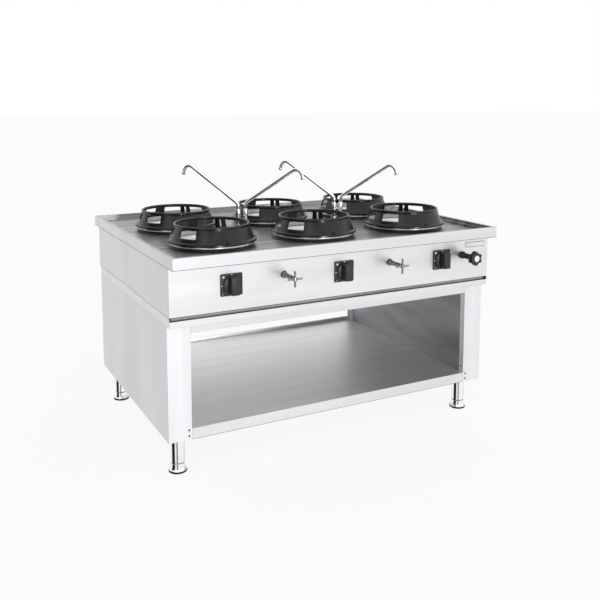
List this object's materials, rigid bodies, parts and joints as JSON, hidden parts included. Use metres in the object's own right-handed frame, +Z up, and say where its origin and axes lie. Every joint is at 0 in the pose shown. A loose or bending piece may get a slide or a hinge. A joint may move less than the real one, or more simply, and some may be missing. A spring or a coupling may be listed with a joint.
{
  "type": "wok range",
  "caption": "Free-standing gas wok range on an open shelf stand, with lift-off wok rings, swivel water spouts, rotary controls and adjustable feet.",
  "frame": {"origin": "on the floor, under the middle of the whole range", "axes": "+X to the right seen from the front, +Y to the back, +Z up"},
  "size_m": [1.5, 1.217, 1.1461],
  "materials": {
    "brushed_steel": "fine brushed stainless sheet",
    "worktop_steel": "brushed stainless sheet with a deep-drawn basin",
    "inner_steel": "plain mill-finish steel",
    "chrome": "polished chrome",
    "enamelled_iron": "black enamelled cast iron",
    "burner_iron": "bare cast iron",
    "black_plastic": "black moulded plastic"
  },
  "bodies": {
    "carcass": {"worktop": "worktop_steel", "control_panel": "brushed_steel", "upper_left_side": "brushed_steel", "upper_right_side": "brushed_steel", "upper_rear_panel": "brushed_steel", "base_pan": "inner_steel", "gas_manifold": "inner_steel", "stand_top_tray": "brushed_steel", "stand_left_side": "brushed_steel", "stand_right_side": "brushed_steel", "left_lining": "brushed_steel", "right_lining": "brushed_steel", "stand_front_rail": "brushed_steel", "stand_rear_rail": "brushed_steel", "shelf": "brushed_steel", "leg_front_left": "chrome", "leg_front_right": "chrome", "leg_rear_left": "chrome", "leg_rear_right": "chrome", "burner_bowl_front_left": "chrome", "burner_front_left": "burner_iron", "burner_bowl_front_middle": "chrome", "burner_front_middle": "burner_iron", "burner_bowl_front_right": "chrome", "burner_front_right": "burner_iron", "burner_bowl_rear_left": "chrome", "burner_rear_left": "burner_iron", "burner_bowl_rear_middle": "chrome", "burner_rear_middle": "burner_iron", "burner_bowl_rear_right": "chrome", "burner_rear_right": "burner_iron", "knob_plate_1": "black_plastic", "knob_plate_2": "black_plastic", "knob_plate_3": "black_plastic", "tap_body_1": "chrome", "tap_body_2": "chrome", "valve_body": "black_plastic", "spout_base_left": "chrome", "spout_base_right": "chrome"},
    "knob_1": {"knob_1": "black_plastic"},
    "knob_2": {"knob_2": "black_plastic"},
    "knob_3": {"knob_3": "black_plastic"},
    "tap_handle_1": {"tap_handle_1": "chrome"},
    "tap_handle_2": {"tap_handle_2": "chrome"},
    "valve_wheel": {"valve_wheel": "black_plastic"},
    "spout_left_a": {"spout_left_a": "chrome"},
    "spout_left_b": {"spout_left_b": "chrome"},
    "spout_right_a": {"spout_right_a": "chrome"},
    "spout_right_b": {"spout_right_b": "chrome"},
    "ring_front_left": {"ring_front_left": "enamelled_iron"},
    "ring_front_middle": {"ring_front_middle": "enamelled_iron"},
    "ring_front_right": {"ring_front_right": "enamelled_iron"},
    "ring_rear_left": {"ring_rear_left": "enamelled_iron"},
    "ring_rear_middle": {"ring_rear_middle": "enamelled_iron"},
    "ring_rear_right": {"ring_rear_right": "enamelled_iron"},
    "foot_front_left": {"foot_front_left": "chrome"},
    "foot_front_right": {"foot_front_right": "chrome"},
    "foot_rear_left": {"foot_rear_left": "chrome"},
    "foot_rear_right": {"foot_rear_right": "chrome"}
  },
  "joints": [
    {"name": "knob_1_turn", "type": "hinge", "parent": "carcass", "child": "knob_1", "pos_m": [-0.501, -0.5065, 0.744], "axis": [0, -1, 0], "range_deg": [0, 90]},
    {"name": "knob_2_turn", "type": "hinge", "parent": "carcass", "child": "knob_2", "pos_m": [-0.006, -0.5065, 0.744], "axis": [0, -1, 0], "range_deg": [0, 90]},
    {"name": "knob_3_turn", "type": "hinge", "parent": "carcass", "child": "knob_3", "pos_m": [0.489, -0.5065, 0.744], "axis": [0, -1, 0], "range_deg": [0, 90]},
    {"name": "tap_1_turn", "type": "hinge", "parent": "carcass", "child": "tap_handle_1", "pos_m": [-0.278, -0.5065, 0.759], "axis": [0, -1, 0], "range_deg": [0, 90]},
    {"name": "tap_2_turn", "type": "hinge", "parent": "carcass", "child": "tap_handle_2", "pos_m": [0.217, -0.5065, 0.759], "axis": [0, -1, 0], "range_deg": [0, 90]},
    {"name": "valve_turn", "type": "hinge", "parent": "carcass", "child": "valve_wheel", "pos_m": [0.604, -0.5065, 0.753], "axis": [0, -1, 0], "range_deg": [0, 360]},
    {"name": "spout_left_a_swivel", "type": "hinge", "parent": "carcass", "child": "spout_left_a", "pos_m": [-0.265, -0.0255, 0.875], "axis": [0, 0, 1], "range_deg": [-22, 128]},
    {"name": "spout_left_b_swivel", "type": "hinge", "parent": "carcass", "child": "spout_left_b", "pos_m": [-0.229, -0.0255, 0.875], "axis": [0, 0, 1], "range_deg": [-46, 46]},
    {"name": "spout_right_a_swivel", "type": "hinge", "parent": "carcass", "child": "spout_right_a", "pos_m": [0.226, -0.0255, 0.875], "axis": [0, 0, 1], "range_deg": [-27, 45]},
    {"name": "spout_right_b_swivel", "type": "hinge", "parent": "carcass", "child": "spout_right_b", "pos_m": [0.262, -0.0255, 0.875], "axis": [0, 0, 1], "range_deg": [-17, 133]},
    {"name": "ring_front_left_lift", "type": "slide", "parent": "carcass", "child": "ring_front_left", "axis": [0, 0, 1], "range_m": [0, 0.1]},
    {"name": "ring_front_middle_lift", "type": "slide", "parent": "carcass", "child": "ring_front_middle", "axis": [0, 0, 1], "range_m": [0, 0.1]},
    {"name": "ring_front_right_lift", "type": "slide", "parent": "carcass", "child": "ring_front_right", "axis": [0, 0, 1], "range_m": [0, 0.1]},
    {"name": "ring_rear_left_lift", "type": "slide", "parent": "carcass", "child": "ring_rear_left", "axis": [0, 0, 1], "range_m": [0, 0.1]},
    {"name": "ring_rear_middle_lift", "type": "slide", "parent": "carcass", "child": "ring_rear_middle", "axis": [0, 0, 1], "range_m": [0, 0.1]},
    {"name": "ring_rear_right_lift", "type": "slide", "parent": "carcass", "child": "ring_rear_right", "axis": [0, 0, 1], "range_m": [0, 0.1]},
    {"name": "foot_front_left_screw", "type": "slide", "parent": "carcass", "child": "foot_front_left", "axis": [0, 0, -1], "range_m": [0, 0.03]},
    {"name": "foot_front_right_screw", "type": "slide", "parent": "carcass", "child": "foot_front_right", "axis": [0, 0, -1], "range_m": [0, 0.03]},
    {"name": "foot_rear_left_screw", "type": "slide", "parent": "carcass", "child": "foot_rear_left", "axis": [0, 0, -1], "range_m": [0, 0.03]},
    {"name": "foot_rear_right_screw", "type": "slide", "parent": "carcass", "child": "foot_rear_right", "axis": [0, 0, -1], "range_m": [0, 0.03]}
  ]
}
